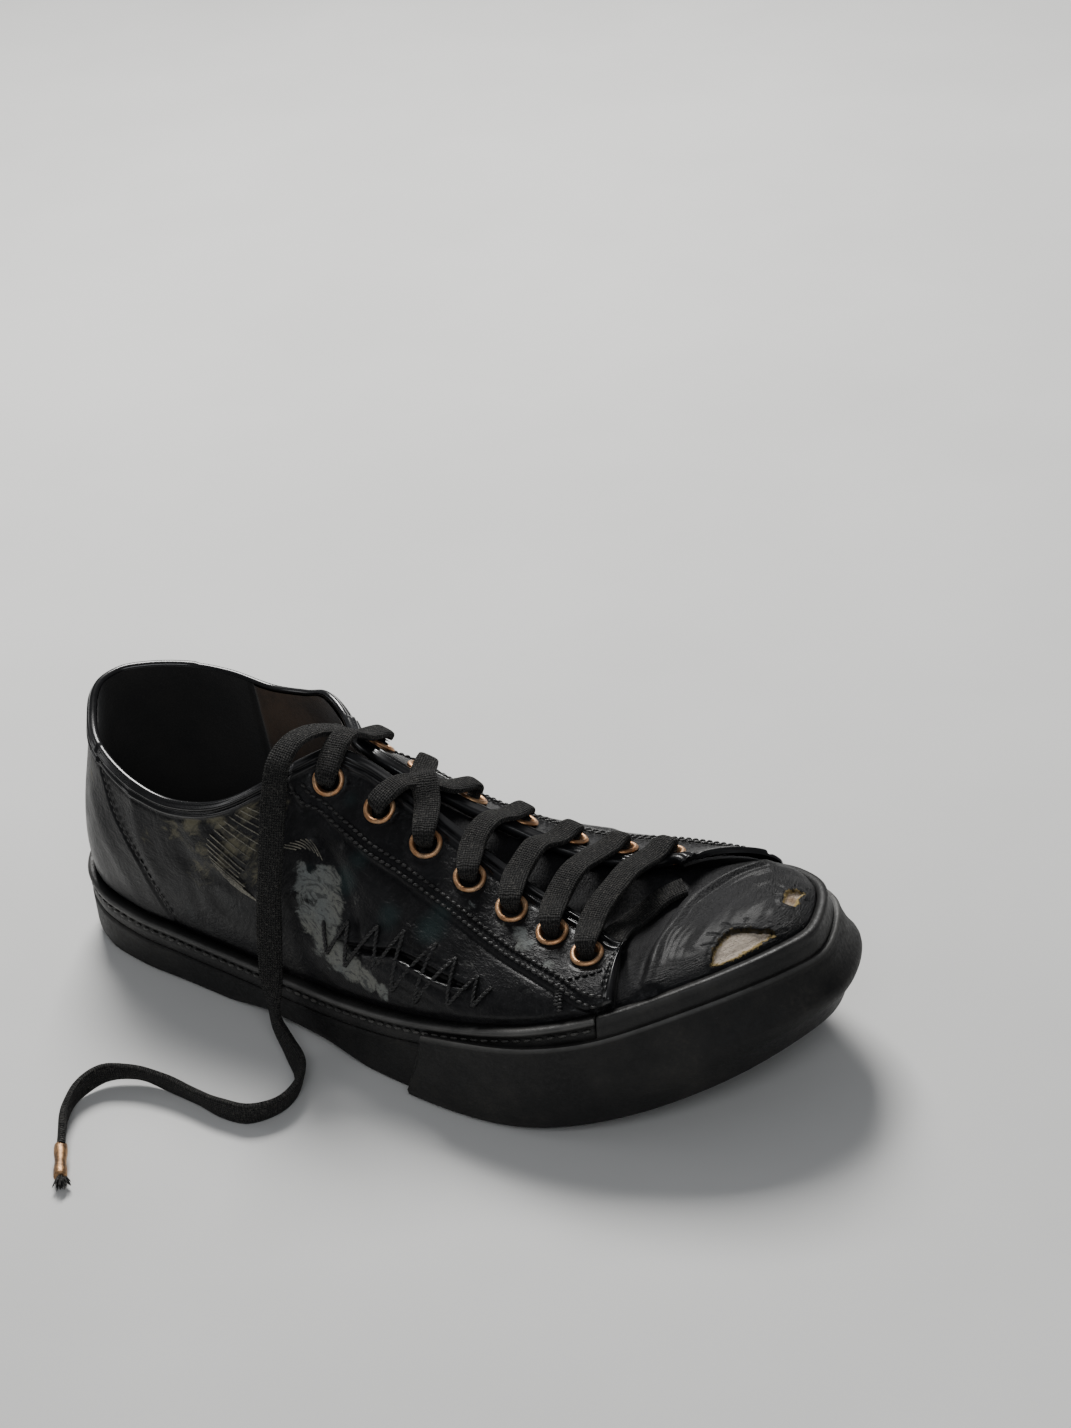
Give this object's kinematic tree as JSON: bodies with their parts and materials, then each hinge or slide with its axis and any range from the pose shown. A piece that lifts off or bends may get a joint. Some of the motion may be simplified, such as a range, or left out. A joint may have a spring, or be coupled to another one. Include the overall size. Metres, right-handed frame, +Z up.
{
  "type": "sneaker",
  "caption": "Worn low leather sneaker for the right foot, with a rubber cup sole, stitched rand, forefoot bumper, eyelets, loose laces and a torn toe",
  "frame": {"origin": "on the floor under the middle of the shoe, measured without the loose lace end", "axes": "+X points to the toe, +Y to the inner side of the foot, +Z up; the sole stands on z = 0"},
  "size_m": [0.2917, 0.2068, 0.1019],
  "materials": {
    "black_rubber": "matte, scuffed",
    "brown_leather": "matte lining, worn",
    "black_leather": "semi-gloss grain, creased and scuffed",
    "copper": "worn copper plating",
    "black_lace": "woven cotton, dusty",
    "aged_brass": "aged"
  },
  "bodies": {
    "root": {"outsole": "black_rubber", "rand_strip": "black_rubber", "toe_strip": "black_rubber", "toe_bumper": "black_rubber", "insole": "brown_leather", "upper": "black_leather", "tongue": "black_leather", "eyelet_outer_1": "copper", "eyelet_outer_2": "copper", "eyelet_outer_3": "copper", "eyelet_outer_4": "copper", "eyelet_outer_5": "copper", "eyelet_outer_6": "copper", "eyelet_outer_7": "copper", "eyelet_inner_1": "copper", "eyelet_inner_2": "copper", "eyelet_inner_3": "copper", "eyelet_inner_4": "copper", "eyelet_inner_5": "copper", "eyelet_inner_6": "copper", "eyelet_inner_7": "copper", "lace_bar_1": "black_lace", "lace_cross": "black_lace", "lace_bar_4": "black_lace", "lace_bar_5": "black_lace", "lace_bar_6": "black_lace", "lace_bar_7": "black_lace", "lace_under_bar": "black_lace", "lace_end": "black_lace", "lace_aglet": "aged_brass", "lace_tip": "black_lace"}
  },
  "joints": []
}
